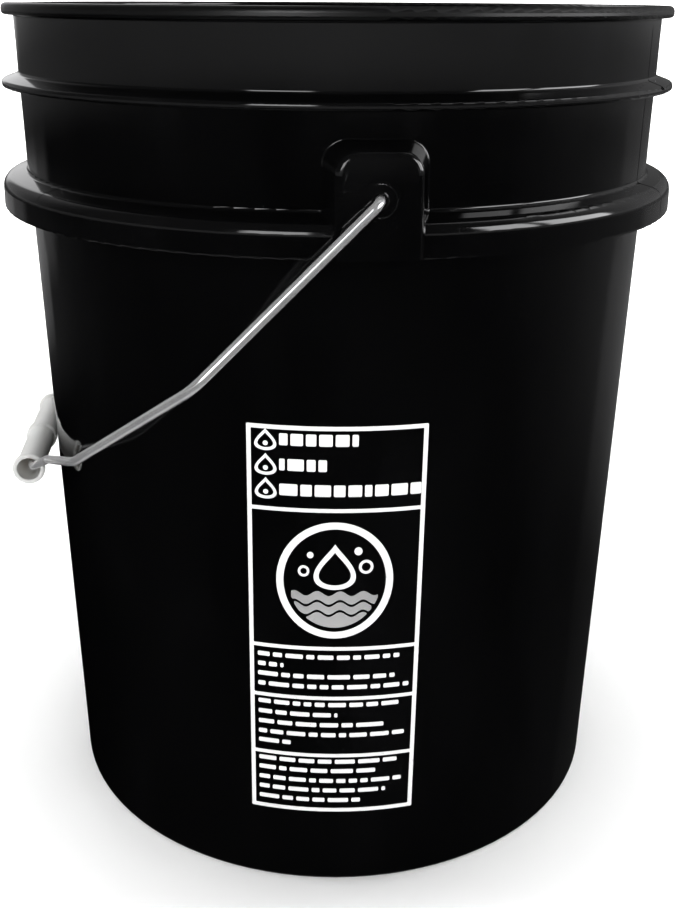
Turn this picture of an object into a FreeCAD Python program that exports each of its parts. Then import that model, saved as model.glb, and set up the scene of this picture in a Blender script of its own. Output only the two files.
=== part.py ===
import FreeCAD, Part
import math
import os
from FreeCAD import Vector as V

os.makedirs("parts", exist_ok=True)

# ---------------------------------------------------------------------------
# Open-head wash bucket, about 5 US gallons (19 litres), millimetres.
# Frame: origin on the bucket's axis in the plane it stands on, +Z up,
# the bail's hinge axis along Y, the bail hanging on the -X side.
# ---------------------------------------------------------------------------

# overall sizes
H = 368.3              # height over the rim
R_BASE = 129.8         # outer radius of the side wall at the floor
TAPER = 0.0402         # outer radius gained per mm of height, lower wall
WALL = 2.3             # side wall thickness (90 mil)

# base
BASE_UNDER = 5.0       # height of the base panel's underside
BASE_THK = 2.7
FOOT_IN = 125.4        # inner radius of the foot ring
IN_FILLET = 6.0        # inside corner between base and side wall

# collar: the lower, wide ring, a flange with a hanging skirt
COL_R = 152.93         # outer radius of the skirt
COL_BOT = 281.2        # bottom edge of the skirt
COL_TOP = 296.6        # flange top where it meets the neck
COL_TOP_OUT = 294.2    # flange top carried out to the skirt
COL_ROUND = 5.2        # outer top corner radius
COL_THK = 2.3
RIB_N = 24             # gussets under the collar
RIB_T = 1.8

# neck and upper ring
R_NECK_LO = 142.2      # outer radius just above the collar
R_NECK_MID = 143.25    # outer radius just below the upper ring
R_NECK_UP = 143.55     # outer radius just above the upper ring
R_NECK_TOP = 144.2     # outer radius just below the rim
RING_R = 150.67        # upper ring, outer radius
RING_TIP_Z = 336.2     # top of its tip
RING_ROOT_Z = 338.8    # top of its root
RING_BOT = 333.4       # its underside

# rim
RIM_R = 149.1          # outer radius of the rim bead
RIM_BOT = 363.4
RIM_IN = 141.8         # inner radius of the mouth

# ears (one moulded boss each side, over the collar)
HINGE_Z = 303.2        # height of the bail's hinge axis
EAR_FACE = 154.8       # distance of the ear's front face from the bucket's axis
EAR_HW = 15.2          # half width at the front face
EAR_TOP = 319.8        # top at the front face
EAR_BOT = 280.5        # bottom edge, just below the skirt's
EAR_DRAFT_W = 0.305    # widening per mm towards the wall
EAR_DRAFT_Z = 0.26     # rise per mm towards the wall
EAR_CORNER = 8.0       # top corner radius at the front face
EAR_CORNER_DRAFT = 0.12
EAR_EDGE = 2.6         # rounding of the front edges
EAR_THK = 2.4          # side and top walls of the ear
EAR_FRONT_THK = 1.8    # its front wall, where it takes the skirt's place
FOOT_FILLET = 0.6      # where the ears run into neck and collar
EAR_RING_R = 7.8       # low raised ring round the bail hole
EAR_RING_H = 0.6
EAR_HOLE_R = 2.45
EAR_SINK_R = 3.3       # chamfer at the hole's mouth
EAR_STEP_R = 6.1       # shallow step inside the ring
EAR_FOOT_Z = 281.9     # finished bottom of the ear's face

# bail: one steel wire
WIRE_D = 3.76          # 9 gauge
HANG_X = 145.63        # distance of the grip's axis from the hinge plane
GRIP_Z = 161.8         # height of the grip's axis, bail hanging
HOOK_S = 148.0         # retaining bend inside the ear
HOOK_TAIL = 7.6
LEG_S = 157.8          # where the wire turns down outside the ear
P_B1 = (163.0, 92.7)   # first bend  (along the hinge axis, down the bail)
P_B2 = (106.0, 162.5)  # second bend
P_E = (60.0, 186.9)    # jog that keeps the grip in the middle
P_G = (45.8, 199.65)
CROWN_T = 211.3        # corner of the wire's shallow crown inside the grip

# grip: one moulded tube, a solid of revolution about its own axis
GRIP_L = 87.0
GRIP_BORE = 5.25
GRIP_BODY_MID = 6.3
GRIP_BODY_END = 6.05
GRIP_LIP_R = 7.3
GRIP_LIP_W = 2.6
GRIP_BEAD_R = 7.3
GRIP_BEAD_W = 5.0


def save(shape, name):
    if not shape.isValid():
        raise RuntimeError(name + " is not a valid shape")
    shape.exportStep("parts/" + name + ".step")
    b = shape.BoundBox
    print(name, "solids", len(shape.Solids), "volume", round(shape.Volume, 1),
          "box", [round(v, 2) for v in (b.XMin, b.XMax, b.YMin, b.YMax, b.ZMin, b.ZMax)])


def rounded(points, closed=True):
    """Lines and tangent arcs through 3-D points [(Vector, radius), ...]."""
    n = len(points)
    segs = []
    rng = range(n) if closed else range(1, n - 1)
    corner = {}
    for i in rng:
        p, r = points[i]
        a = points[(i - 1) % n][0]
        b = points[(i + 1) % n][0]
        if r <= 0:
            corner[i] = (p, None, p)
            continue
        u = (a - p).normalize()
        w = (b - p).normalize()
        ang = u.getAngle(w)
        d = r / math.tan(ang / 2.0)
        bis = (u + w).normalize()
        c = p + bis * (r / math.sin(ang / 2.0))
        mid = c - bis * r
        corner[i] = (p + u * d, mid, p + w * d)
    edges = []
    order = list(range(n)) + ([0] if closed else [])
    prev_out = None
    for k, i in enumerate(order):
        if i in corner:
            start, mid, out = corner[i]
        else:
            start, mid, out = points[i][0], None, points[i][0]
        if prev_out is not None and (start - prev_out).Length > 1e-6:
            edges.append(Part.LineSegment(prev_out, start).toShape())
        if closed and k == n:
            break
        if mid is not None:
            edges.append(Part.Arc(start, mid, out).toShape())
        prev_out = out
    return Part.Wire(edges)


def revolve(profile):
    """Solid of revolution about Z from [(r, z, fillet), ...]."""
    wire = rounded([(V(r, 0, z), f) for r, z, f in profile])
    shape = Part.Face(wire).revolve(V(0, 0, 0), V(0, 0, 1), 360)
    if shape.Volume < 0:
        shape.reverse()
    return Part.Solid(shape) if shape.ShapeType == "Shell" else shape


def r_out(z):
    """Outer radius of the bare wall, with no rings."""
    pts = [(0.0, R_BASE), (COL_TOP, R_BASE + TAPER * COL_TOP), (COL_TOP + 0.01, R_NECK_LO),
           (RING_BOT, R_NECK_MID), (RING_ROOT_Z, R_NECK_UP), (H, R_NECK_TOP)]
    for (z0, r0), (z1, r1) in zip(pts, pts[1:]):
        if z <= z1:
            return r0 + (r1 - r0) * (z - z0) / (z1 - z0)
    return R_NECK_TOP


# ---------------------------------------------------------------------------
# pail body
# ---------------------------------------------------------------------------
wall_in = lambda z: r_out(z) - WALL
under_flange = COL_TOP - COL_THK
r_wall_flange = R_BASE + TAPER * (under_flange)
base_top = BASE_UNDER + BASE_THK

outer = [
    (0.0, BASE_UNDER, 0),
    (FOOT_IN - 0.6, BASE_UNDER, 1.6),
    (FOOT_IN, 0.0, 0.8),
    (R_BASE, 0.0, 1.3),
    (r_wall_flange, under_flange, 1.2),
    (COL_R - COL_THK - 0.35, under_flange - 1.1, 2.8),
    (COL_R - COL_THK, COL_BOT, 0.9),
    (COL_R, COL_BOT, 1.1),
    (COL_R, COL_TOP_OUT, COL_ROUND),
    (R_NECK_LO, COL_TOP, 1.5),
    (R_NECK_MID, RING_BOT, 0.9),
    (RING_R, RING_BOT, 1.0),
    (RING_R, RING_TIP_Z, 1.5),
    (R_NECK_UP, RING_ROOT_Z, 1.4),
    (R_NECK_TOP, RIM_BOT, 0.8),
    (RIM_R, RIM_BOT, 1.6),
    (RIM_R, H, 2.2),
    (RIM_IN, H, 1.4),
    (R_NECK_TOP - WALL, RIM_BOT, 3.0),
    (R_NECK_LO - WALL, COL_TOP, 6.0),
    (wall_in(base_top), base_top, IN_FILLET),
    (0.0, base_top, 0),
]
body = revolve(outer)



def core(grow):
    """The space inside the side wall's outer face moved out by grow, for trimming."""
    return revolve([(0.0, 250.0, 0), (R_BASE + TAPER * 250.0 + grow, 250.0, 0),
                    (r_wall_flange + grow, under_flange, 0), (R_NECK_LO + grow, COL_TOP, 0),
                    (R_NECK_MID + grow, RING_BOT, 0), (R_NECK_UP + grow, H - 20.0, 0),
                    (0.0, H - 20.0, 0)])



def ear_wire(s, inset=0.0, bottom=EAR_BOT):
    """Outline of the ear across its depth at distance s from the bucket's axis."""
    d = EAR_FACE - s
    hw = EAR_HW + EAR_DRAFT_W * d - inset
    top = EAR_TOP + EAR_DRAFT_Z * d - inset
    rad = max(EAR_CORNER + EAR_CORNER_DRAFT * d - inset, 1.0)
    pts = [(V(-hw, -s, bottom), 0), (V(hw, -s, bottom), 0),
           (V(hw, -s, top), rad), (V(-hw, -s, top), rad)]
    return rounded(pts)


def front_edges(solid, y, zmin):
    """Edges of a solid that lie in the plane Y = y above zmin."""
    out = []
    for e in solid.Edges:
        b = e.BoundBox
        if abs(b.YMin - y) < 1e-4 and abs(b.YMax - y) < 1e-4 and b.ZMax > zmin:
            out.append(e)
    return out


ear = Part.makeLoft([ear_wire(138.0), ear_wire(EAR_FACE)], True, True)
ear = ear.makeFillet(EAR_EDGE, front_edges(ear, -EAR_FACE, COL_BOT + 0.5))
pocket = Part.makeLoft([ear_wire(138.0, EAR_THK, COL_BOT - 6.0),
                        ear_wire(EAR_FACE - EAR_FRONT_THK, EAR_THK, COL_BOT - 6.0)], True, True)

ring = Part.makeCone(EAR_RING_R, EAR_RING_R - 0.5, EAR_RING_H + 1.0,
                     V(0, -(EAR_FACE - 1.0), HINGE_Z), V(0, -1, 0))
hole = Part.makeCylinder(EAR_HOLE_R, 12.0, V(0, -(EAR_FACE - 6.0), HINGE_Z), V(0, -1, 0))
sink = Part.makeCone(EAR_HOLE_R, EAR_SINK_R + 0.6, 0.85 + 0.6,
                     V(0, -(EAR_FACE + 0.25 - 0.85), HINGE_Z), V(0, -1, 0))
step = Part.makeCone(EAR_STEP_R - 0.3, EAR_STEP_R + 0.3, 0.6,
                     V(0, -(EAR_FACE + 0.25), HINGE_Z), V(0, -1, 0))
trim = Part.makeBox(35.0, 8.1, 4.0, V(-17.5, -160.0, EAR_FOOT_Z - 4.0))

ear_add = ear.fuse(ring).cut(core(-WALL / 2))
ear_cut = pocket.cut(core(0.15)).fuse([hole, sink, step])


def turned(shape, deg):
    s = shape.copy()
    s.rotate(V(0, 0, 0), V(0, 0, 1), deg)
    return s


def foot_edges(shape):
    """Edges where the ears run into the neck and into the collar."""
    found = []
    for e in shape.Edges:
        b = e.BoundBox
        if b.XMin < -24 or b.XMax > 24 or b.ZMin < EAR_BOT + 0.3 or b.ZMax > RING_BOT - 2:
            continue
        if min(abs(b.YMin), abs(b.YMax)) < 120:
            continue
        pts = [e.valueAt(e.FirstParameter + k * (e.LastParameter - e.FirstParameter) / 6.0)
               for k in range(7)]
        neck = all(abs(math.hypot(p.x, p.y) - r_out(p.z)) < 0.12 and p.z > COL_TOP - 0.2
                   for p in pts)
        collar = all(math.hypot(p.x, p.y) > 142.0 and abs(p.x) > 14.5 and
                     EAR_BOT + 0.3 < p.z < COL_TOP + 2.0 for p in pts)
        if neck or collar:
            found.append(e)
    return found


body = body.fuse([ear_add, turned(ear_add, 180.0)]).removeSplitter()
body = body.makeFillet(FOOT_FILLET, foot_edges(body))

# gussets under the collar, left out where the ears are
ribs = []
for i in range(RIB_N):
    a = 360.0 / RIB_N * (i + 0.5)
    off = min(abs((a - 90) % 360), abs((a - 270) % 360), 360 - abs((a - 90) % 360),
              360 - abs((a - 270) % 360))
    if off < 9.0:
        continue
    x0 = R_BASE + TAPER * 284.0 - 0.9
    rib = Part.makePolygon([V(x0, -RIB_T / 2, 283.6), V(COL_R - 1.2, -RIB_T / 2, 283.6),
                            V(COL_R - 1.2, -RIB_T / 2, COL_TOP - 1.2),
                            V(x0, -RIB_T / 2, COL_TOP - 1.2), V(x0, -RIB_T / 2, 283.6)])
    rib = Part.Face(rib).extrude(V(0, RIB_T, 0))
    ribs.append(turned(rib, a))
# the gussets only fill the channel between wall and skirt
channel = revolve([(R_BASE + TAPER * 283.0 - 0.9, 283.0, 0), (COL_R - 1.2, 283.0, 0),
                   (COL_R - 1.2, 291.5, 0), (COL_R - 3.0, COL_TOP - 2.0, 0),
                   (R_NECK_LO - 0.9, COL_TOP - 1.2, 0)])
ribs = [r.common(channel) for r in ribs]

# stiffening under the base: one ring and radial ribs on the panel's underside
base_ribs = []
for i in range(12):
    b = Part.makeBox(99.0, 1.8, 2.6, V(26.0, -0.9, BASE_UNDER - 2.2))
    base_ribs.append(turned(b, 30.0 * i + 15.0))
base_ring = Part.makeCylinder(27.0, 2.6, V(0, 0, BASE_UNDER - 2.2)).cut(
    Part.makeCylinder(25.2, 2.6, V(0, 0, BASE_UNDER - 2.2)))
mid_ring = Part.makeCylinder(76.0, 2.6, V(0, 0, BASE_UNDER - 2.2)).cut(
    Part.makeCylinder(74.2, 2.6, V(0, 0, BASE_UNDER - 2.2)))
gate = Part.makeCone(4.2, 5.0, 1.4, V(0, 0, BASE_UNDER - 1.0))

body = body.fuse(ribs + base_ribs + [base_ring, mid_ring, gate])
body = body.cut([ear_cut, turned(ear_cut, 180.0), trim, turned(trim, 180.0)])
if body.ShapeType == "Compound" and len(body.Solids) == 1:
    body = body.Solids[0]
save(body, "pail_body")


# ---------------------------------------------------------------------------
# bail wire, drawn in the bail's own plane: s along the hinge axis (towards -Y),
# t from the hinge axis down the hanging bail
# ---------------------------------------------------------------------------
HANG = math.atan2(HANG_X, HINGE_Z - GRIP_Z)
GRIP_T = math.hypot(HANG_X, HINGE_Z - GRIP_Z)


def bail_point(s, t):
    return V(-t * math.sin(HANG), -s, HINGE_Z - t * math.cos(HANG))


half = [
    ((HOOK_S, -HOOK_TAIL), 0),
    ((HOOK_S, 0.0), 3.4),
    ((LEG_S, 0.0), 4.0),
    (P_B1, 13.0),
    (P_B2, 20.0),
    (P_E, 7.0),
    (P_G, 5.0),
]
crown = ((0.0, CROWN_T), 176.0)
path_pts = [(bail_point(*p), r) for p, r in half] + [(bail_point(*crown[0]), crown[1])] + \
           [(bail_point(-p[0], p[1]), r) for p, r in reversed(half)]
path = rounded(path_pts, closed=False)
start = path_pts[0][0]
direction = (path_pts[1][0] - path_pts[0][0]).normalize()
section = Part.Wire([Part.makeCircle(WIRE_D / 2, start, direction)])
wire = path.makePipeShell([section], True, False, 2)
want = math.pi * (WIRE_D / 2) ** 2 * path.Length
print("bail length", round(path.Length, 1), "volume ratio", round(wire.Volume / want, 4))
end_faces = [e for e in wire.Edges if abs(e.Length - math.pi * WIRE_D) < 0.05 and
             ((e.CenterOfMass - start).Length < 0.05 or
              (e.CenterOfMass - path_pts[-1][0]).Length < 0.05)]
wire = wire.makeFillet(0.5, end_faces)
save(wire, "bail_wire")


# ---------------------------------------------------------------------------
# grip, a solid of revolution about the line through its bore
# ---------------------------------------------------------------------------
L2 = GRIP_L / 2
gp = [
    (GRIP_BORE, -L2, 0.5), (GRIP_LIP_R, -L2, 0.9), (GRIP_LIP_R, -L2 + GRIP_LIP_W, 0.9),
    (GRIP_BODY_END, -L2 + GRIP_LIP_W + 0.5, 0.8),
    (GRIP_BODY_MID, -GRIP_BEAD_W / 2 - 0.6, 0.6), (GRIP_BEAD_R, -GRIP_BEAD_W / 2 + 0.6, 1.2),
    (GRIP_BEAD_R, GRIP_BEAD_W / 2 - 0.6, 1.2), (GRIP_BODY_MID, GRIP_BEAD_W / 2 + 0.6, 0.6),
    (GRIP_BODY_END, L2 - GRIP_LIP_W - 0.5, 0.8),
    (GRIP_LIP_R, L2 - GRIP_LIP_W, 0.9), (GRIP_LIP_R, L2, 0.9), (GRIP_BORE, L2, 0.5),
]
grip = revolve(gp)
grip.rotate(V(0, 0, 0), V(1, 0, 0), 90)
grip.translate(V(-HANG_X, 0, GRIP_Z))
save(grip, "bail_grip")

gap_grip_wall = HANG_X - GRIP_LIP_R - (R_BASE + TAPER * GRIP_Z)
print("hang angle", round(math.degrees(HANG), 3), "grip t", round(GRIP_T, 3),
      "grip to wall", round(gap_grip_wall, 2))
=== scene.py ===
import math
import random

import bmesh
import bpy
from mathutils import Matrix, Vector


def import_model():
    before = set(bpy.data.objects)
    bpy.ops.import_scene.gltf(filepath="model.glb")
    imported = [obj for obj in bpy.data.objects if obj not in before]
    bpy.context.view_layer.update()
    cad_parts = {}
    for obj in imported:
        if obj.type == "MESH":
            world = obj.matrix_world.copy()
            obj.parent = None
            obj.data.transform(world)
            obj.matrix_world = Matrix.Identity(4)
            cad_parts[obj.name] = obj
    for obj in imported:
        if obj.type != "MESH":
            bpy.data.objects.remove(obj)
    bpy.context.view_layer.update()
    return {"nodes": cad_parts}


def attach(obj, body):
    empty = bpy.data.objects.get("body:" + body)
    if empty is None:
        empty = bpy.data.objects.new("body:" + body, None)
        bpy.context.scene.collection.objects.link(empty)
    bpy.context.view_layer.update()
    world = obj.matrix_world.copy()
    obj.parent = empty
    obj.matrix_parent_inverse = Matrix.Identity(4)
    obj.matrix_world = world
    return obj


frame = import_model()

NODES = frame["nodes"]
PAIL, WIRE, GRIP = NODES["pail_body"], NODES["bail_wire"], NODES["bail_grip"]
SCENE = bpy.context.scene
MM = 0.001

# ---------------------------------------------------------------------------
# the side wall, as the CAD model has it (millimetres)
# ---------------------------------------------------------------------------
R_FLOOR = 129.8
TAPER = 0.0402
FRONT = math.radians(-5.65)      # the side that the printed panel faces, from -Y towards +X


def wall_r(z):
    return R_FLOOR + TAPER * z


def on_wall(theta, z, h):
    """A point h mm proud of the cone, theta from the panel's middle, all in metres."""
    a = FRONT + theta
    n = 1.0 / math.sqrt(1.0 + TAPER * TAPER)
    r = wall_r(z) + h * n
    zz = z - h * TAPER * n
    return Vector((r * math.sin(a), -r * math.cos(a), zz)) * MM


# ---------------------------------------------------------------------------
# camera
# ---------------------------------------------------------------------------
cam = bpy.data.cameras.new("camera")
cam_ob = bpy.data.objects.new("camera", cam)
SCENE.collection.objects.link(cam_ob)
SCENE.camera = cam_ob
cam.sensor_fit = "AUTO"
cam.sensor_width = 36.0
cam.lens = 46.42165
cam.shift_x = 0.0041128
cam.shift_y = -0.1365624
cam.clip_start = 0.01
cam.clip_end = 100.0
AZ = -FRONT
turn = (Matrix.Rotation(-AZ, 4, "Z") @ Matrix.Rotation(math.radians(90.0 - 15.9048), 4, "X")
        @ Matrix.Rotation(math.radians(0.33138), 4, "Z"))
cam_ob.matrix_world = Matrix.Translation(
    (-0.556917 * math.sin(AZ), -0.556917 * math.cos(AZ), 0.371401)) @ turn

# ---------------------------------------------------------------------------
# studio: a pale floor that runs up into a pale wall all round, soft lights
# ---------------------------------------------------------------------------
SCENE.view_settings.view_transform = "Standard"
SCENE.view_settings.look = "None"


def nodes_of(mat):
    mat.use_nodes = True
    nt = mat.node_tree
    nt.nodes.clear()
    out = nt.nodes.new("ShaderNodeOutputMaterial")
    bsdf = nt.nodes.new("ShaderNodeBsdfPrincipled")
    nt.links.new(bsdf.outputs["BSDF"], out.inputs["Surface"])
    return nt, bsdf


def studio():
    prof = [(0.0, 0.0)]
    for r in (0.15, 0.3, 0.6, 1.2, 2.4, 3.2):
        prof.append((r, 0.0))
    for k in range(1, 13):
        a = math.radians(90.0 * k / 12)
        prof.append((3.2 + 1.6 * math.sin(a), 1.6 - 1.6 * math.cos(a)))
    for z in (2.4, 3.6):
        prof.append((4.8, z))
    seg = 96
    bm = bmesh.new()
    rings = []
    for r, z in prof:
        if r == 0.0:
            rings.append([bm.verts.new((0, 0, z))])
        else:
            rings.append([bm.verts.new((r * math.cos(2 * math.pi * i / seg),
                                        r * math.sin(2 * math.pi * i / seg), z)) for i in range(seg)])
    for a, b in zip(rings, rings[1:]):
        for i in range(seg):
            j = (i + 1) % seg
            if len(a) == 1:
                bm.faces.new((a[0], b[i], b[j]))
            else:
                bm.faces.new((a[i], b[i], b[j], a[j]))
    me = bpy.data.meshes.new("studio_floor")
    bm.to_mesh(me)
    bm.free()
    for p in me.polygons:
        p.use_smooth = True
    ob = bpy.data.objects.new("studio_floor", me)
    SCENE.collection.objects.link(ob)
    mat = bpy.data.materials.new("pale_floor")
    nt, b = nodes_of(mat)
    noise = nt.nodes.new("ShaderNodeTexNoise")
    noise.inputs["Scale"].default_value = 3.0
    noise.inputs["Detail"].default_value = 3.0
    ramp = nt.nodes.new("ShaderNodeValToRGB")
    ramp.color_ramp.elements[0].color = (0.90, 0.90, 0.90, 1)
    ramp.color_ramp.elements[1].color = (0.93, 0.93, 0.93, 1)
    tc = nt.nodes.new("ShaderNodeTexCoord")
    nt.links.new(tc.outputs["Object"], noise.inputs["Vector"])
    nt.links.new(noise.outputs["Fac"], ramp.inputs["Fac"])
    nt.links.new(ramp.outputs["Color"], b.inputs["Base Color"])
    b.inputs["Roughness"].default_value = 0.9
    b.inputs["Specular IOR Level"].default_value = 0.1
    # painted light: the floor and wall glow more the further they are from the middle, from none at 0.45 m to 0.9
    # at 1.5 m, in place of light on the backdrop away from the object
    far = nt.nodes.new("ShaderNodeVectorMath")
    far.operation = "LENGTH"
    nt.links.new(tc.outputs["Object"], far.inputs[0])
    painted_backdrop_glow = nt.nodes.new("ShaderNodeMapRange")
    painted_backdrop_glow.inputs["From Min"].default_value = 0.45
    painted_backdrop_glow.inputs["From Max"].default_value = 1.5
    painted_backdrop_glow.inputs["To Min"].default_value = 0.0
    painted_backdrop_glow.inputs["To Max"].default_value = 0.90
    nt.links.new(far.outputs["Value"], painted_backdrop_glow.inputs["Value"])
    # painted light: white emission on the floor, its strength set by distance from the middle
    b.inputs["Emission Color"].default_value = (1.0, 1.0, 1.0, 1.0)
    nt.links.new(painted_backdrop_glow.outputs["Result"], b.inputs["Emission Strength"])
    me.materials.append(mat)
    ob.visible_glossy = False
    ob.visible_shadow = False
    return ob


studio()


def area(name, loc, target, size, power, shape="RECTANGLE", size_y=None, glossy=True, diffuse=True, spread=180.0):
    l = bpy.data.lights.new(name, "AREA")
    l.shape = shape
    l.size = size
    if size_y:
        l.size_y = size_y
    l.energy = power
    l.spread = math.radians(spread)
    ob = bpy.data.objects.new(name, l)
    SCENE.collection.objects.link(ob)
    ob.location = loc
    d = Vector(target) - Vector(loc)
    ob.rotation_mode = "QUATERNION"
    ob.rotation_quaternion = d.to_track_quat("-Z", "Y")
    ob.visible_glossy = glossy
    ob.visible_diffuse = diffuse
    ob.visible_camera = False
    return ob


area("key_top", (0.0, 0.05, 2.6), (0, 0.05, 0.0), 2.4, 62.0, size_y=0.45, glossy=False)
area("fill_left", (-2.2, -1.4, 1.6), (0, 0, 0.2), 1.4, 5.0, glossy=False)
area("fill_right", (2.2, -1.2, 1.6), (0, 0, 0.2), 1.4, 5.0, glossy=False)


def step(a, b, x):
    t = min(1.0, max(0.0, (x - a) / (b - a)))
    return t * t * (3.0 - 2.0 * t)


def hill(x, mid, half):
    d = abs((x - mid + 180.0) % 360.0 - 180.0)
    return 1.0 - step(0.0, half, d)


def box(x, lo, hi, soft):
    return step(lo - soft, lo + soft, x) * (1.0 - step(hi - soft, hi + soft, x))


def glow(az, el):
    """Brightness that gloss reflects: az from the front, to the right positive; el above the horizon."""
    right, left = hill(az, 116.0, 60.0), hill(az, -142.0, 46.0)
    up = 0.05 + 0.30 * right + 0.20 * left
    side = min(1.0, abs(az) / 160.0)
    strip = (0.30 * (1.0 - side) + 0.035 + 0.03 * right) * step(-6.1, -3.1, el)
    low = 0.095 * hill(az, 128.0, 85.0) + 0.07 * box(az, 121.0, 168.0, 3.0)
    low *= 0.10 + 0.90 * step(-30.0, -12.0, el)
    low += 0.035 * hill(az, -128.0, 50.0) * box(el, -18.5, -8.0, 2.5)
    low += 0.12 * box(abs(az), 137.0, 176.0, 1.5) * (az < 0) * box(el, -16.0, -6.0, 1.5)
    low += 0.12 * box(abs(az), 125.0, 176.0, 3.0) * (az < 0) * box(el, -12.5, -6.0, 1.5)
    below = low * (1.0 - step(-8.0, -2.0, el)) + strip
    v = below + (up - below) * step(-1.5, 4.0, el)
    v += 0.30 * (1.0 - side) * box(el, 0.0, 4.0, 1.5)
    v += 0.34 * step(-48.0, -68.0, el)
    top = 33.0 - 0.42 * max(0.0, az - 74.0)
    panes = max(box(az, 47.0, 66.0, 1.2), box(az, 70.5, 98.0, 1.2))
    window_right = 7.5 * panes * box(el, 4.5, top, 1.5)
    window_left = 6.0 * box(az, -29.0, -8.0, 1.5) * box(el, 5.0, 25.0, 1.5)
    window_back = 0.9 * box(abs(az), 150.0, 178.0, 4.0) * (az < 0) * box(el, 2.0, 26.0, 4.0)
    beam = 1.6 * box(el, 36.0, 74.0, 5.0) * (1.0 - step(1.5, 6.0, abs(az - 84.0 - (72.0 - el) * 1.35)))
    return v + window_right + window_left + window_back + beam


def reflection_dome():
    """A dome that only gloss sees: it takes the place of the studio's flats and softboxes."""
    seg, rows, rad = 360, 180, 3.6
    bm = bmesh.new()
    layer = bm.verts.layers.float_color.new("glow")
    rings = []
    for j in range(rows + 1):
        el = -90.0 + 180.0 * j / rows
        ring = []
        for i in range(seg):
            az = -180.0 + 360.0 * i / seg
            a = math.radians(az) + FRONT
            c = math.cos(math.radians(el))
            v = bm.verts.new((rad * c * math.sin(a), -rad * c * math.cos(a),
                              0.2 + rad * math.sin(math.radians(el))))
            g = glow(az, el)
            v[layer] = (g, g, g * 1.01, 1.0)
            ring.append(v)
            if j in (0, rows):
                break
        rings.append(ring)
    for a, b in zip(rings, rings[1:]):
        for i in range(seg):
            k = (i + 1) % seg
            vs = []
            for v in (a[i % len(a)], a[k % len(a)], b[k % len(b)], b[i % len(b)]):
                if v not in vs:
                    vs.append(v)
            bm.faces.new(vs)
    me = bpy.data.meshes.new("reflection_dome")
    bm.to_mesh(me)
    bm.free()
    ob = bpy.data.objects.new("reflection_dome", me)
    SCENE.collection.objects.link(ob)
    mat = bpy.data.materials.new("reflection_dome_glow")
    mat.use_nodes = True
    nt = mat.node_tree
    nt.nodes.clear()
    out = nt.nodes.new("ShaderNodeOutputMaterial")
    em = nt.nodes.new("ShaderNodeEmission")
    at = nt.nodes.new("ShaderNodeAttribute")
    at.attribute_name = "glow"
    nt.links.new(at.outputs["Color"], em.inputs["Color"])
    nt.links.new(em.outputs["Emission"], out.inputs["Surface"])
    me.materials.append(mat)
    mat.cycles.emission_sampling = "NONE"
    ob.visible_camera = False
    ob.visible_diffuse = False
    ob.visible_transmission = False
    ob.visible_volume_scatter = False
    ob.visible_shadow = False


reflection_dome()


def world():
    w = bpy.data.worlds.new("studio_world")
    SCENE.world = w
    w.use_nodes = True
    nt = w.node_tree
    nt.nodes.clear()
    out = nt.nodes.new("ShaderNodeOutputWorld")
    bg = nt.nodes.new("ShaderNodeBackground")
    bg.inputs["Color"].default_value = (1.0, 1.0, 1.0, 1.0)
    bg.inputs["Strength"].default_value = 0.24
    nt.links.new(bg.outputs["Background"], out.inputs["Surface"])
    w.cycles_visibility.glossy = False
    return w


world()

# ---------------------------------------------------------------------------
# material helpers
# ---------------------------------------------------------------------------


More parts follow.
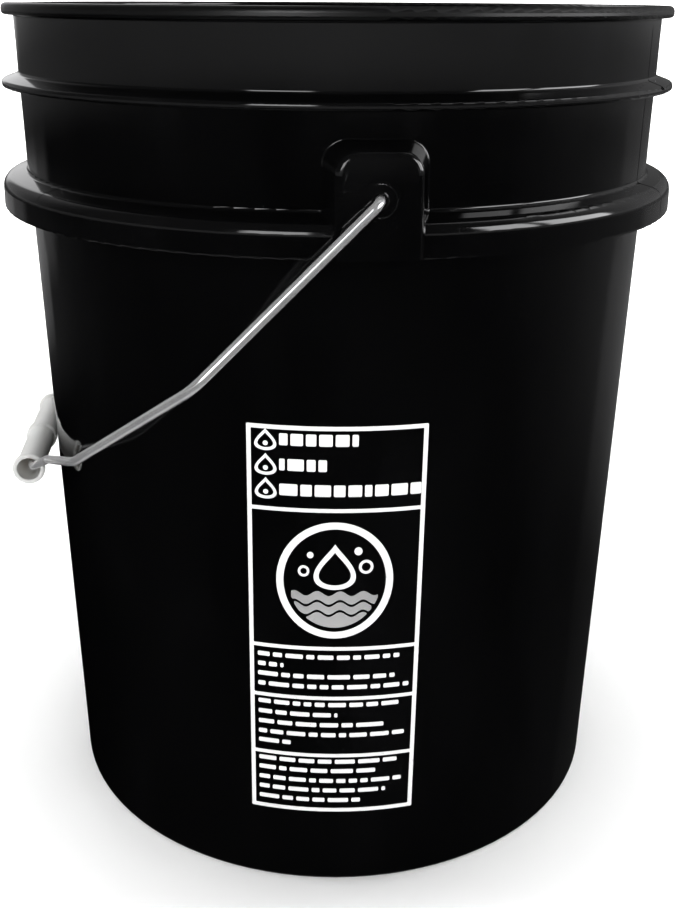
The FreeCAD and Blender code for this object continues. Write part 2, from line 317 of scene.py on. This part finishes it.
class Net:
    """Short names for building node networks."""

    def __init__(self, name):
        self.mat = bpy.data.materials.new(name)
        self.nt, self.bsdf = nodes_of(self.mat)
        self.tc = self.nt.nodes.new("ShaderNodeTexCoord")
        self.pos = self.tc.outputs["Object"]

    def link(self, a, b):
        self.nt.links.new(a, b)

    def put(self, socket, value):
        if hasattr(value, "is_linked"):
            self.link(value, socket)
        else:
            socket.default_value = value

    def scaled(self, sx, sy, sz, rot=(0, 0, 0)):
        m = self.nt.nodes.new("ShaderNodeMapping")
        m.inputs["Scale"].default_value = (sx, sy, sz)
        m.inputs["Rotation"].default_value = rot
        self.link(self.pos, m.inputs["Vector"])
        return m.outputs["Vector"]

    def noise(self, vec, scale, detail=4.0, rough=0.5, distortion=0.0):
        n = self.nt.nodes.new("ShaderNodeTexNoise")
        n.inputs["Scale"].default_value = scale
        n.inputs["Detail"].default_value = detail
        n.inputs["Roughness"].default_value = rough
        n.inputs["Distortion"].default_value = distortion
        self.link(vec, n.inputs["Vector"])
        return n.outputs["Fac"]

    def ramp(self, fac, stops):
        r = self.nt.nodes.new("ShaderNodeValToRGB")
        e = r.color_ramp.elements
        while len(e) < len(stops):
            e.new(0.5)
        for el, (p, c) in zip(e, stops):
            el.position = p
            if isinstance(c, (int, float)):
                c = (c, c, c)
            el.color = (*c, 1.0)
        self.link(fac, r.inputs["Fac"])
        return r.outputs["Color"]

    def math(self, op, a, b=None, clamp=False):
        m = self.nt.nodes.new("ShaderNodeMath")
        m.operation = op
        m.use_clamp = clamp
        self.put(m.inputs[0], a)
        if b is not None:
            self.put(m.inputs[1], b)
        return m.outputs["Value"]

    def span(self, v, lo, hi, a=0.0, b=1.0, smooth=False):
        m = self.nt.nodes.new("ShaderNodeMapRange")
        m.interpolation_type = "SMOOTHSTEP" if smooth else "LINEAR"
        m.inputs["From Min"].default_value = lo
        m.inputs["From Max"].default_value = hi
        m.inputs["To Min"].default_value = a
        m.inputs["To Max"].default_value = b
        self.link(v, m.inputs["Value"])
        return m.outputs["Result"]

    def mix(self, fac, a, b, blend="MIX"):
        m = self.nt.nodes.new("ShaderNodeMix")
        m.data_type = "RGBA"
        m.blend_type = blend
        self.put(m.inputs["Factor"], fac)
        for sock, v in ((m.inputs[6], a), (m.inputs[7], b)):
            if isinstance(v, tuple):
                v = (*v, 1.0)
            self.put(sock, v)
        return m.outputs[2]

    def xyz(self):
        s = self.nt.nodes.new("ShaderNodeSeparateXYZ")
        self.link(self.pos, s.inputs["Vector"])
        return s.outputs["X"], s.outputs["Y"], s.outputs["Z"]

    def radius(self):
        x, y, z = self.xyz()
        return self.math("SQRT", self.math("ADD", self.math("MULTIPLY", x, x), self.math("MULTIPLY", y, y)))

    def bump(self, height, strength, distance, under=None):
        b = self.nt.nodes.new("ShaderNodeBump")
        b.inputs["Strength"].default_value = strength
        b.inputs["Distance"].default_value = distance
        self.link(height, b.inputs["Height"])
        if under is not None:
            self.link(under, b.inputs["Normal"])
        return b.outputs["Normal"]


def polyethylene():
    """Gloss black moulded polyethylene: slow waviness, fine texture, scuffs at edges."""
    n = Net("gloss_black_polyethylene")
    x, y, z = n.xyz()
    r = n.radius()
    broad = n.noise(n.scaled(1, 1, 1), 7.0, 2.0, 0.5)
    flow = n.noise(n.scaled(1, 1, 0.25), 26.0, 5.0, 0.55, 0.3)
    fine = n.noise(n.pos, 700.0, 3.0, 0.6)
    # colour: black with a little drift
    col = n.ramp(flow, [(0.30, (0.0009, 0.0009, 0.0010)), (0.55, (0.0014, 0.0014, 0.0015)),
                        (0.75, (0.0022, 0.0022, 0.0024))])
    # handling wear: thin pale scuffs, thicker at the rim, the ring tips and the foot
    scr = n.noise(n.scaled(1.0, 1.0, 9.0, (0.5, 0.3, 0.0)), 60.0, 8.0, 0.62, 1.2)
    scr2 = n.noise(n.scaled(7.0, 7.0, 1.0, (0.2, -0.4, 0.4)), 48.0, 8.0, 0.62, 0.8)
    lines = n.math("MAXIMUM", n.span(scr, 0.675, 0.71), n.span(scr2, 0.682, 0.72))
    rim = n.math("MULTIPLY", n.span(z, 0.3628, 0.3640, smooth=True), n.span(r, 0.1455, 0.1475, smooth=True))
    lip = n.span(z, 0.3668, 0.3682, smooth=True)
    foot = n.span(z, 0.006, 0.0015, smooth=True)
    ring = n.span(r, 0.1496, 0.1506, smooth=True)
    edge = n.math("MAXIMUM", n.math("MAXIMUM", lip, foot), n.math("MULTIPLY", ring, 0.6))
    patch = n.span(n.noise(n.pos, 14.0, 3.0), 0.48, 0.62, smooth=True)
    wear = n.math("MULTIPLY", lines, n.math("ADD", n.math("MULTIPLY", edge, 0.8), n.math("MULTIPLY", patch, 0.10)), clamp=True)
    col = n.mix(n.math("MULTIPLY", wear, 0.5), col, (0.040, 0.040, 0.041))
    n.put(n.bsdf.inputs["Base Color"], col)
    rough = n.span(flow, 0.3, 0.75, 0.055, 0.105)
    rough = n.math("ADD", rough, n.math("MULTIPLY", rim, 0.25))
    rough = n.math("ADD", rough, n.math("MULTIPLY", wear, 0.35))
    rough = n.math("ADD", rough, n.math("MULTIPLY", n.span(fine, 0.4, 0.6), 0.015), clamp=True)
    n.put(n.bsdf.inputs["Roughness"], rough)
    n.bsdf.inputs["IOR"].default_value = 1.50
    nrm = n.bump(broad, 0.30, 0.0006)
    nrm = n.bump(fine, 0.06, 0.00003, nrm)
    nrm = n.bump(lines, 0.12, 0.00002, nrm)
    n.put(n.bsdf.inputs["Normal"], nrm)
    return n.mat


def zinc():
    """Bright zinc-plated drawn wire."""
    n = Net("zinc_plated_wire")
    spangle = n.noise(n.pos, 260.0, 3.0, 0.6)
    draw = n.noise(n.scaled(1.0, 0.22, 1.0), 700.0, 3.0, 0.6)
    cloud = n.noise(n.pos, 60.0, 3.0, 0.5)
    col = n.ramp(cloud, [(0.25, (0.62, 0.62, 0.63)), (0.5, (0.70, 0.70, 0.71)), (0.8, (0.78, 0.78, 0.78))])
    col = n.mix(n.span(spangle, 0.64, 0.74, 0.0, 0.16), col, (0.42, 0.42, 0.43))
    n.put(n.bsdf.inputs["Base Color"], col)
    n.bsdf.inputs["Metallic"].default_value = 0.80
    n.put(n.bsdf.inputs["Roughness"], n.math("ADD", n.span(draw, 0.3, 0.7, 0.15, 0.21), n.span(spangle, 0.6, 0.72, 0.0, 0.06)))
    nrm = n.bump(draw, 0.12, 0.00001)
    n.put(n.bsdf.inputs["Normal"], nrm)
    return n.mat


def natural_white():
    """Satin natural-white polyethylene of the grip."""
    n = Net("natural_white_polyethylene")
    cloud = n.noise(n.pos, 45.0, 4.0, 0.55)
    fine = n.noise(n.pos, 1400.0, 2.0, 0.6)
    col = n.ramp(cloud, [(0.3, (0.50, 0.50, 0.49)), (0.7, (0.58, 0.58, 0.57))])
    dirt = n.noise(n.scaled(1, 0.3, 1), 160.0, 6.0, 0.6, 0.6)
    col = n.mix(n.span(dirt, 0.60, 0.74, 0.0, 0.30), col, (0.34, 0.33, 0.32))
    n.put(n.bsdf.inputs["Base Color"], col)
    n.put(n.bsdf.inputs["Roughness"], n.span(cloud, 0.3, 0.7, 0.30, 0.42))
    n.bsdf.inputs["Subsurface Weight"].default_value = 0.35
    n.bsdf.inputs["Subsurface Radius"].default_value = (1.0, 0.95, 0.9)
    n.bsdf.inputs["Subsurface Scale"].default_value = 0.0025
    nrm = n.bump(fine, 0.12, 0.00004)
    nrm = n.bump(cloud, 0.10, 0.0003, nrm)
    n.put(n.bsdf.inputs["Normal"], nrm)
    return n.mat


def ink(name, lo, hi):
    """Screen-print ink: slightly uneven cover, satin."""
    n = Net(name)
    cover = n.noise(n.pos, 380.0, 5.0, 0.6)
    cloud = n.noise(n.pos, 30.0, 2.0, 0.5)
    col = n.ramp(cloud, [(0.3, lo), (0.7, hi)])
    col = n.mix(n.span(cover, 0.66, 0.74, 0.0, 0.45), col, (0.10, 0.10, 0.10))
    n.put(n.bsdf.inputs["Base Color"], col)
    n.put(n.bsdf.inputs["Roughness"], n.span(cover, 0.3, 0.7, 0.35, 0.5))
    n.put(n.bsdf.inputs["Normal"], n.bump(cover, 0.15, 0.00003))
    return n.mat


def dress(ob, mat):
    if not ob.data.materials:
        ob.data.materials.append(mat)
    for i in range(len(ob.data.materials)):
        ob.data.materials[i] = mat


BLACK = polyethylene()
dress(PAIL, BLACK)
dress(WIRE, zinc())
dress(GRIP, natural_white())
INK = ink("print_ink_white", (0.66, 0.66, 0.66), (0.74, 0.74, 0.74))
INK_SOFT = ink("print_ink_grey", (0.24, 0.24, 0.24), (0.30, 0.30, 0.30))

# ---------------------------------------------------------------------------
# the printed panel: a generic layout in thin raised ink, wrapped round the wall
# ---------------------------------------------------------------------------
Z_TOP, Z_BOT = 213.8, 35.8
HALF = 35.1                       # nominal half width of the panel, mm
INK_H = 0.10


def panel_theta(u, z):
    """Angle from the front for a point u mm right of the panel's middle at height z."""
    k = (z - Z_BOT) / (Z_TOP - Z_BOT)
    centre = -0.25 + k * 0.635
    half = 15.12 - k * 0.395
    return math.radians(centre + half * u / HALF)


def arc_pts(cx, cy, rx, ry, a0, a1, n):
    return [(cx + rx * math.cos(math.radians(a0 + (a1 - a0) * i / n)),
             cy + ry * math.sin(math.radians(a0 + (a1 - a0) * i / n))) for i in range(n + 1)]


def loop_round_rect(x0, y0, x1, y1, r, n=4):
    pts = []
    for cx, cy, a in ((x1 - r, y1 - r, 0), (x0 + r, y1 - r, 90), (x0 + r, y0 + r, 180), (x1 - r, y0 + r, 270)):
        pts += arc_pts(cx, cy, r, r, a, a + 90, n)
    return pts


def loop_ellipse(cx, cy, rx, ry, n=64):
    return arc_pts(cx, cy, rx, ry, 0, 360, n)[:-1]


def face_outward(bm):
    """Turn every closed island of the mesh the right way out."""
    seen = set()
    for first in bm.faces:
        if first in seen:
            continue
        island, todo = [], [first]
        seen.add(first)
        while todo:
            f = todo.pop()
            island.append(f)
            for e in f.edges:
                for g in e.link_faces:
                    if g not in seen:
                        seen.add(g)
                        todo.append(g)
        base, volume = first.verts[0].co.copy(), 0.0
        for f in island:
            vs = [v.co - base for v in f.verts]
            for a, b in zip(vs[1:], vs[2:]):
                volume += vs[0].dot(a.cross(b))
        if volume < 0.0:
            bmesh.ops.reverse_faces(bm, faces=island)


def printed(name, shapes, mat, height=INK_H):
    """shapes: a list of shapes, each a list of loops (the outline and its holes), in panel mm."""
    parts = []
    for loops in shapes:
        cu = bpy.data.curves.new(name + "_outline", "CURVE")
        cu.dimensions = "2D"
        cu.fill_mode = "BOTH"
        cu.extrude = 0.5
        for loop in loops:
            sp = cu.splines.new("POLY")
            sp.points.add(len(loop) - 1)
            for p, (a, b) in zip(sp.points, loop):
                p.co = (a, b, 0.0, 1.0)
            sp.use_cyclic_u = True
        tmp = bpy.data.objects.new(name + "_outline", cu)
        SCENE.collection.objects.link(tmp)
        dg = bpy.context.evaluated_depsgraph_get()
        me = bpy.data.meshes.new_from_object(tmp.evaluated_get(dg))
        parts.append(me)
        bpy.data.objects.remove(tmp)
        bpy.data.curves.remove(cu)
    bm = bmesh.new()
    for me in parts:
        bm.from_mesh(me)
        bpy.data.meshes.remove(me)
    bmesh.ops.remove_doubles(bm, verts=bm.verts, dist=1e-4)
    u0 = min(v.co.x for v in bm.verts)
    u1 = max(v.co.x for v in bm.verts)
    step = 1.6
    k = math.ceil(u0 / step)
    while k * step < u1:
        bmesh.ops.bisect_plane(bm, geom=bm.verts[:] + bm.edges[:] + bm.faces[:], dist=1e-5,
                               plane_co=(k * step, 0, 0), plane_no=(1, 0, 0))
        k += 1
    bmesh.ops.remove_doubles(bm, verts=bm.verts, dist=0.004)
    bmesh.ops.triangulate(bm, faces=[f for f in bm.faces if len(f.verts) > 4])
    for v in bm.verts:
        h = height if v.co.z > 0 else -0.10
        v.co = on_wall(panel_theta(v.co.x, v.co.y), v.co.y, h)
    bmesh.ops.recalc_face_normals(bm, faces=bm.faces)
    face_outward(bm)
    me = bpy.data.meshes.new(name)
    bm.to_mesh(me)
    bm.free()
    me.materials.append(mat)
    ob = bpy.data.objects.new(name, me)
    SCENE.collection.objects.link(ob)
    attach(ob, "pail")
    return ob


def panel_frame():
    b = 1.75
    rules = [178.3, 116.2, 92.5, 64.3]
    t = 0.8
    edges = [Z_TOP - b] + [v for z in rules for v in (z + t, z - t)] + [Z_BOT + b]
    outer = loop_round_rect(-HALF, Z_BOT, HALF, Z_TOP, 0.5)
    holes = []
    for i in range(0, len(edges), 2):
        holes.append(loop_round_rect(-HALF + b, edges[i + 1], HALF - b, edges[i], 0.4))
    return [[outer] + holes]


printed("print_frame", panel_frame(), INK)


def word_bars(x0, x1, z, h, rng, mean, gap, r):
    """A line of plain bars from x0 to x1: stands for a line of print without any lettering."""
    out, x = [], x0
    while x < x1 - 1.0:
        w = min(mean * rng.uniform(0.45, 1.55), x1 - x)
        if x1 - (x + w) < mean * 0.35:
            w = x1 - x
        out.append([loop_round_rect(x, z - h / 2, x + w, z + h / 2, min(r, h / 2 - 0.02, w / 2 - 0.02), 3)])
        x += w + gap
    return out


def body_lines():
    rng = random.Random(7)
    rows = [(112.0, 27.0), (107.3, -20.8), (102.7, 25.3), (97.9, 31.4),
            (89.3, 27.4), (84.3, 1.8), (79.4, 21.3), (74.5, 30.3), (70.0, -17.8),
            (61.2, 27.6), (56.5, 18.4), (51.5, 32.0), (46.6, 23.0), (41.7, 12.2)]
    out = []
    for z, x1 in rows:
        out += word_bars(-33.0 + 1.4, x1, z, 1.95, rng, 6.2, 1.4, 0.5)
    return out


printed("print_lines", body_lines(), INK)


def heading_bars():
    rng = random.Random(3)
    out = []
    for z, x1 in ((208.0, 10.0), (197.4, -2.0), (186.8, 33.2)):
        out += word_bars(-22.2, x1, z, 4.9, rng, 4.6, 1.1, 0.5)
    return out


printed("print_headings", heading_bars(), INK)


def drop_loop(cx, cy, w, h, n=40):
    """Outline of a water drop, its point up."""
    pts = []
    for i in range(n):
        t = 2 * math.pi * i / n
        x = w * 0.5 * math.sin(t) * (math.sin(t / 2) ** 1.5)
        y = h * 0.5 * math.cos(t)
        pts.append((cx - x, cy + y))
    return pts


def heading_icons():
    out = []
    for z in (207.6, 197.2, 187.0):
        out.append([drop_loop(-27.6, z, 12.4, 9.2), drop_loop(-27.6, z - 0.3, 8.8, 6.2)])
        out.append([loop_ellipse(-27.6, z - 1.6, 1.0, 1.0, 20)])
    return out


printed("print_icons", heading_icons(), INK)


def wave(x0, x1, z, amp, length, t, n=70):
    top, low = [], []
    for i in range(n + 1):
        x = x0 + (x1 - x0) * i / n
        c = z + amp * math.sin(2 * math.pi * (x - x0) / length)
        top.append((x, c + t / 2))
        low.append((x, c - t / 2))
    return top[::-1] + low


def badge():
    cz = 147.2
    ring = [loop_ellipse(-0.2, cz, 23.4, 26.1, 120), loop_ellipse(-0.2, cz, 20.5, 23.1, 120)]
    return [ring]


def badge_waves():
    """Water that fills the lower part of the badge, in two bands with a wavy gap."""
    cz, rx, ry = 147.2, 18.6, 21.1
    out = []

    def level(x, z):
        return z + 1.1 * math.sin(2 * math.pi * x / 9.2)

    def band(z_hi, z_lo):
        top, low, n = [], [], 60
        for i in range(n + 1):
            x = -rx + 2 * rx * i / n
            floor = -ry * math.sqrt(max(0.0, 1.0 - (x / rx) ** 2))
            hi = level(x, z_hi)
            lo = floor if z_lo is None else max(floor, level(x, z_lo))
            if hi - lo > 0.25:
                top.append((x - 0.2, cz + hi))
                low.append((x - 0.2, cz + lo))
        return top[::-1] + low

    out.append([band(-5.6, -9.4)])
    out.append([band(-10.6, -14.0)])
    out.append([band(-15.2, None)])
    return out


def badge_drop():
    cz = 147.2
    out = [[drop_loop(-0.2, cz + 6.4, 24.0, 20.4, 56), drop_loop(-0.2, cz + 5.6, 18.2, 14.8, 56)],
           [loop_ellipse(-12.6, cz + 4.4, 2.3, 2.5, 28), loop_ellipse(-12.6, cz + 4.4, 1.3, 1.45, 24)],
           [loop_ellipse(12.2, cz + 6.4, 2.9, 3.1, 28), loop_ellipse(12.2, cz + 6.4, 1.8, 1.95, 24)],
           [loop_ellipse(9.0, cz + 13.4, 1.6, 1.75, 24)],
           [loop_ellipse(-10.0, cz + 11.6, 1.3, 1.4, 24)]]
    return out


printed("print_badge_ring", badge(), INK)
printed("print_badge_waves", badge_waves(), INK_SOFT)
printed("print_badge_drop", badge_drop(), INK)

# ---------------------------------------------------------------------------
# mould parting lines: fine raised witness lines over the necks, ring and collar
# ---------------------------------------------------------------------------


def outer_profile(a, z0, z1, dz):
    """Outer radius of the pail against height, in the half plane at angle a; metres."""
    pts, z = [], z0
    out = Vector((math.sin(a), -math.cos(a), 0.0))
    while z <= z1 + 1e-9:
        start = out * 0.2 + Vector((0.0, 0.0, z * MM))
        hit, where, normal, index = PAIL.ray_cast(PAIL.matrix_world.inverted() @ start, -out, distance=0.19)
        if hit:
            w = PAIL.matrix_world @ where
            pts.append((math.hypot(w.x, w.y), w.z))
        z += dz
    return pts


def parting_line(name, degrees, z0, z1, width=0.55, height=0.10):
    a = math.radians(degrees)
    pts = outer_profile(a, z0, z1, 0.4)
    # even the spacing out, so that the flanks of the rings are covered as well
    even = [pts[0]]
    for p, q in zip(pts, pts[1:]):
        n = max(1, int(math.hypot(q[0] - p[0], q[1] - p[1]) / 0.0007))
        for k in range(1, n + 1):
            even.append((p[0] + (q[0] - p[0]) * k / n, p[1] + (q[1] - p[1]) * k / n))
    bm = bmesh.new()
    rows = []
    tang = Vector((math.cos(a), math.sin(a), 0.0))
    out = Vector((math.sin(a), -math.cos(a), 0.0))
    last = len(even) - 1
    for i, (r, z) in enumerate(even):
        p, q = even[max(0, i - 1)], even[min(last, i + 1)]
        d = Vector((q[0] - p[0], q[1] - p[1]))
        d.normalize()
        nr, nz = d.y, -d.x
        fade = min(1.0, i / 6.0, (last - i) / 6.0)
        row = []
        for u, h in ((-0.5, -0.12), (-0.22, height * fade), (0.22, height * fade), (0.5, -0.12)):
            rr, zz = r + nr * h * MM, z + nz * h * MM
            row.append(bm.verts.new(out * rr + Vector((0.0, 0.0, zz)) + tang * (u * width * MM)))
        rows.append(row)
    for g, h in zip(rows, rows[1:]):
        for k in range(4):
            j = (k + 1) % 4
            bm.faces.new((g[k], g[j], h[j], h[k]))
    bm.faces.new(rows[0][::-1])
    bm.faces.new(rows[-1])
    bmesh.ops.recalc_face_normals(bm, faces=bm.faces)
    face_outward(bm)
    me = bpy.data.meshes.new(name)
    bm.to_mesh(me)
    bm.free()
    me.materials.append(BLACK)
    ob = bpy.data.objects.new(name, me)
    SCENE.collection.objects.link(ob)
    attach(ob, "pail")
    return ob


parting_line("parting_line_front_right", 57.3, 283.0, 361.5)
parting_line("parting_line_front_left", -57.2, 283.0, 301.0)
parting_line("parting_line_front_left_low", -53.6, 281.5, 290.0, 0.45, 0.08)
parting_line("parting_line_back_right", 122.7, 283.0, 361.5)
parting_line("parting_line_back_left", -122.8, 283.0, 361.5)
